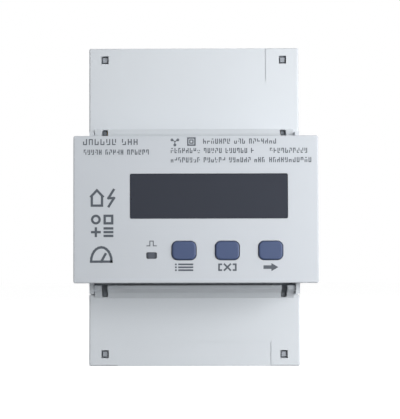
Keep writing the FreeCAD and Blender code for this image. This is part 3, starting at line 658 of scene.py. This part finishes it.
class METER_OT_panel_text(bpy.types.Operator):
    """Lines of filler characters along the top of the panel"""

    bl_idname = "meter.panel_text"
    bl_label = "Panel text"

    def execute(self, context):
        sizes = context.scene.meter_print
        face, half_x, half_z = panel_face()
        rng = random.Random(sizes.seed)
        marks = Print(face.y, sizes.ink_depth)
        left = face.x - half_x
        right = face.x + half_x
        top = face.z + half_z
        high = sizes.text_height
        # Each line: the edge that its two ends are placed from, its drop from the top, its height, and its
        # words, as the number of letters in each.
        lines = (
            (left, 2.6, 19.2, 2.75, sizes.title_height, (6, 3)),
            (left, 2.9, 22.4, 5.6, high, (5, 5, 6)),
            (right, -34.0, -12.2, 2.45, high, (7, 3, 7)),
            (right, -43.5, -18.8, 5.2, high, (8, 5, 6, 1)),
            (right, -14.4, -3.1, 5.2, high, (10,)),
            (right, -43.5, -15.6, 7.95, high, (8, 6, 6, 3)),
            (right, -14.6, -1.9, 7.95, high, (11,)),
        )
        for edge, start, finish, drop, size, words in lines:
            marks.line(edge + start * MM, edge + finish * MM, top - drop * MM, size, words, rng)
        marks.finish("panel_text")
        return {"FINISHED"}


class METER_OT_panel_symbols(bpy.types.Operator):
    """Star and double-square symbols, and three plain marks at the left"""

    bl_idname = "meter.panel_symbols"
    bl_label = "Panel symbols"

    def execute(self, context):
        sizes = context.scene.meter_print
        face, half_x, _ = panel_face()
        marks = Print(face.y, sizes.ink_depth)
        row = face.z + 19.9 * MM
        self.star(marks, face.x - 6.1 * MM, row)
        self.double_square(marks, face.x - 1.25 * MM, row)
        column = face.x - half_x + 8.4 * MM
        pen = sizes.icon_stroke
        self.house_and_bolt(marks, column + 0.56 * MM, face.z + 3.3 * MM, pen)
        self.four_signs(marks, column + 0.1 * MM, face.z - 4.85 * MM, pen)
        self.gauge(marks, column - 0.15 * MM, face.z - 15.35 * MM, pen)
        marks.finish("panel_symbols")
        return {"FINISHED"}

    @staticmethod
    def star(marks, x, z):
        """Three arms with a small ring at each end."""
        reach = 1.0 * MM
        for angle in (30, 150, 270):
            end = (x + reach * math.cos(math.radians(angle)), z + reach * math.sin(math.radians(angle)))
            marks.stroke((x, z), end, marks.FINE_PEN)
            marks.ring(*end, 0.42 * MM, 0.18 * MM, 16)

    @staticmethod
    def double_square(marks, x, z):
        """One square outline inside another."""
        marks.outline(x, z, 2.5 * MM, 2.5 * MM, 0.4 * MM)
        marks.outline(x, z, 1.25 * MM, 1.25 * MM, 0.32 * MM)

    @staticmethod
    def house_and_bolt(marks, x, z, pen):
        """A house outline, and a zigzag beside it."""
        left = x - 2.0 * MM
        half = 1.5 * MM
        overhang = half + 0.2 * MM
        ridge = z + 2.3 * MM
        eave = z + 0.5 * MM
        foot = z - 2.2 * MM
        marks.stroke((left - overhang, eave), (left, ridge), pen)
        marks.stroke((left, ridge), (left + overhang, eave), pen)
        marks.stroke((left - half, eave), (left - half, foot), pen)
        marks.stroke((left + half, eave), (left + half, foot), pen)
        marks.stroke((left - half, foot), (left + half, foot), pen)
        right = x + 2.2 * MM
        lean, rise, kink = 0.7 * MM, 2.4 * MM, 0.8 * MM
        upper = [(right + lean, z + rise), (right - kink, z)]
        lower = [(right + kink, z), (right - lean, z - rise)]
        marks.path(upper + lower, pen)

    @staticmethod
    def four_signs(marks, x, z, pen):
        """Two rows of two plain signs: a ring, a square, a cross and three bars."""
        reach = 1.85 * MM
        size = 2.9 * MM
        marks.ring(x - reach, z + reach, size / 2, size / 2 - pen)
        marks.outline(x + reach, z + reach, size, size, pen)
        marks.bar(x - reach, z - reach, size, pen)
        marks.bar(x - reach, z - reach, pen, size)
        for step in (-1, 0, 1):
            marks.bar(x + reach, z - reach + step * 1.1 * MM, size, pen)

    @staticmethod
    def gauge(marks, x, z, pen):
        """A half-round dial with a needle and a base line."""
        radius = 3.0 * MM
        steps = 12
        points = []
        for step in range(steps + 1):
            angle = math.pi * step / steps
            points.append((x + radius * math.cos(angle), z + 1.4 * radius * math.sin(angle)))
        marks.path(points, pen)
        marks.stroke((x - radius, z), (x + radius, z), pen)
        marks.stroke((x, z), (x + 1.2 * MM, z + 2.2 * MM), pen)


class METER_OT_captions(bpy.types.Operator):
    """Pictograms under the keys and the pulse sign over the lamp"""

    bl_idname = "meter.captions"
    bl_label = "Captions"

    def execute(self, context):
        sizes = context.scene.meter_print
        face, _, half_z = panel_face()
        high = sizes.caption_height
        pen = 0.5 * MM
        marks = Print(face.y, sizes.ink_depth)
        level = face.z - half_z + 4.65 * MM
        self.menu(marks, centre_of("left_button").x, level, high, pen)
        self.cross(marks, centre_of("middle_button").x, level, high, pen)
        self.arrow(marks, centre_of("right_button").x, level, high)
        lens = centre_of("pulse_lens")
        self.pulse(marks, lens.x, lens.z + 3.55 * MM)
        marks.finish("key_captions")
        return {"FINISHED"}

    @staticmethod
    def menu(marks, x, z, high, pen):
        """Three dots and three bars, as on a menu key."""
        for step in (-1, 0, 1):
            level = z + step * (high - pen) / 2
            marks.bar(x - 2.4 * MM, level, pen, pen)
            marks.bar(x + 0.5 * MM, level, 4.4 * MM, pen)

    @staticmethod
    def cross(marks, x, z, high, pen):
        """A diagonal cross between two brackets, as on a leave key."""
        half = (high - pen) / 2
        for side in (-1, 1):
            marks.stroke((x - half, z - side * half), (x + half, z + side * half), pen)
            marks.bar(x + side * 2.45 * MM, z, pen, high)
            for end in (-1, 1):
                marks.bar(x + side * 2.0 * MM, z + end * half, 0.9 * MM, pen)

    @staticmethod
    def arrow(marks, x, z, high):
        """An arrow to the right."""
        marks.bar(x - 0.95 * MM, z, 2.4 * MM, 1.05 * MM)
        marks.arrowhead(x + 0.85 * MM, z, 0.62 * high)

    @staticmethod
    def pulse(marks, x, z):
        """One square pulse on a line."""
        low = z - 0.7 * MM
        high = z + 0.7 * MM
        corners = [(x - 1.4 * MM, low), (x - 0.5 * MM, low), (x - 0.5 * MM, high)]
        corners += [(x + 0.5 * MM, high), (x + 0.5 * MM, low), (x + 1.4 * MM, low)]
        marks.path(corners, marks.FINE_PEN)


class METER_OT_terminal_numbers(bpy.types.Operator):
    """Small raised numbers beside the terminals, under the covers"""

    bl_idname = "meter.terminal_numbers"
    bl_label = "Terminal numbers"

    def execute(self, context):
        high = context.scene.meter_print.numeral_height
        # Each row: its block, how far that block's face is set back, the drop from the screws, the height of
        # the numbers, and the first number.
        rows = (
            ("bottom", 1.5 * MM, 7.2 * MM, high, 1),
            ("top", 0.0, 5.6 * MM, high, 5),
            ("signal", 1.5 * MM, 4.2 * MM, 0.6 * high, 11),
        )
        for side, set_back, drop, size, first in rows:
            face_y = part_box(f"{side}_terminal_block")[0].y + set_back
            bm = bmesh.new()
            for offset, screw in enumerate(starting_with(f"{side}_screw_")):
                middle = centre_of(screw)
                self.numeral(bm, str(first + offset), size, Vector((middle.x, face_y, middle.z - drop)))
            new_piece(f"{side}_terminal_numbers", bm, ink(), "root")
        return {"FINISHED"}

    @staticmethod
    def numeral(bm, text, size, where):
        """Adds one number as a thin solid, standing on a face that looks towards -Y."""
        words = bpy.data.curves.new("numeral", "FONT")
        words.body = text
        words.size = size
        words.align_x = "CENTER"
        words.align_y = "CENTER"
        words.extrude = 0.04 * MM
        words.resolution_u = 3
        holder = bpy.data.objects.new("numeral", words)
        bpy.context.scene.collection.objects.link(holder)
        bpy.context.view_layer.update()
        mesh = bpy.data.meshes.new_from_object(holder.evaluated_get(bpy.context.evaluated_depsgraph_get()))
        mesh.transform(Matrix.Translation(where) @ Matrix.Rotation(math.radians(90), 4, "X"))
        bm.from_mesh(mesh)
        bpy.data.objects.remove(holder)
        bpy.data.meshes.remove(mesh)


class METER_OT_studio(bpy.types.Operator):
    """Floor, lights, surroundings and camera"""

    bl_idname = "meter.studio"
    bl_label = "Studio"

    def execute(self, context):
        scene = context.scene
        self.floor()
        self.surroundings(scene)
        self.lights(scene.meter_studio)
        self.camera(scene)
        scene.view_settings.view_transform = "Standard"
        return {"FINISHED"}

    @staticmethod
    def floor():
        """A plain pale floor under the object, darker as a source of light than it looks."""
        reach = 2.5
        lit, seen_as, glow = 0.3, 0.93, 0.6
        bm = bmesh.new()
        bmesh.ops.create_grid(bm, x_segments=1, y_segments=1, size=reach)
        bmesh.ops.translate(bm, vec=(0, 0, cad_box[0].z), verts=bm.verts)
        mesh = bpy.data.meshes.new("floor")
        bm.to_mesh(mesh)
        bm.free()
        floor = bpy.data.objects.new("floor", mesh)
        bpy.context.scene.collection.objects.link(floor)
        material, tree, shader = new_material("studio_floor")
        shader.inputs["Roughness"].default_value = 0.8
        shader.inputs["Emission Color"].default_value = WHITE
        tree.links.new(by_camera(tree, lit, seen_as), shader.inputs["Base Color"])
        tree.links.new(by_camera(tree, 0.0, glow), shader.inputs["Emission Strength"])
        mesh.materials.append(material)

    @staticmethod
    def surroundings(scene):
        """White for the camera, softer as light."""
        world = bpy.data.worlds.new("studio")
        scene.world = world
        world.use_nodes = True
        tree = world.node_tree
        back = tree.nodes["Background"]
        back.inputs["Color"].default_value = WHITE
        tree.links.new(by_camera(tree, scene.meter_studio.ambient, 1.0), back.inputs["Strength"])

    @staticmethod
    def lights(studio):
        """Soft boxes at the right, at the upper left, low in front and behind; all face the object."""
        centre = (cad_box[0] + cad_box[1]) / 2
        for name, (where, size, mirrored) in SOFT_BOXES.items():
            offset = Vector(where)
            data = bpy.data.lights.new(f"{name}_light", "AREA")
            data.size = size
            data.energy = getattr(studio, f"{name}_power")
            lamp = bpy.data.objects.new(f"{name}_light", data)
            lamp.location = centre + offset
            lamp.rotation_mode = "QUATERNION"
            lamp.rotation_quaternion = (-offset).to_track_quat("-Z", "Y")
            lamp.visible_glossy = mirrored
            bpy.context.scene.collection.objects.link(lamp)

    @staticmethod
    def camera(scene):
        """Faces the panel almost square on, from slightly low and left."""
        studio = scene.meter_studio
        data = bpy.data.cameras.new("camera")
        data.lens = studio.focal
        data.clip_start = 0.01
        camera = bpy.data.objects.new("camera", data)
        scene.collection.objects.link(camera)
        data.shift_x = studio.shift_x
        data.shift_y = studio.shift_z
        face, _, _ = panel_face()
        camera.location = face + Vector((studio.side, -studio.distance, studio.rise))
        heading = Matrix.Rotation(-studio.heading, 3, "Z")
        tilt = Matrix.Rotation(math.radians(90) + studio.tilt, 3, "X")
        roll = Matrix.Rotation(studio.roll, 3, "Z")
        camera.rotation_mode = "QUATERNION"
        camera.rotation_quaternion = (heading @ tilt @ roll).to_quaternion()
        scene.camera = camera


class METER_PT_looks(bpy.types.Panel):
    """Lists the steps and their settings"""

    bl_label = "Meter"
    bl_idname = "METER_PT_looks"
    bl_space_type = "VIEW_3D"
    bl_region_type = "UI"
    bl_category = "Meter"

    def draw(self, context):
        for step in STEPS:
            self.layout.operator(step.bl_idname)
        for group in (context.scene.meter_colours, context.scene.meter_print, context.scene.meter_studio):
            box = self.layout.box()
            for name in group.__annotations__:
                box.prop(group, name)


STEPS = (
    METER_OT_studio,
    METER_OT_mouldings,
    METER_OT_display,
    METER_OT_keys,
    METER_OT_metalwork,
    METER_OT_electronics,
    METER_OT_panel_text,
    METER_OT_panel_symbols,
    METER_OT_captions,
    METER_OT_terminal_numbers,
)
SETTINGS = {"meter_colours": MeterColours, "meter_print": MeterPrint, "meter_studio": MeterStudio}
CLASSES = (*SETTINGS.values(), *STEPS, METER_PT_looks)


def register():
    """Registers the classes and their settings."""
    for kind in CLASSES:
        bpy.utils.register_class(kind)
    for name, kind in SETTINGS.items():
        setattr(bpy.types.Scene, name, PointerProperty(type=kind))


def unregister():
    """Removes what register added."""
    for name in SETTINGS:
        delattr(bpy.types.Scene, name)
    for kind in reversed(CLASSES):
        bpy.utils.unregister_class(kind)


def main():
    """Runs every step in order."""
    register()
    for step in STEPS:
        family, name = step.bl_idname.split(".")
        getattr(getattr(bpy.ops, family), name)()


if __name__ == "__main__":
    main()
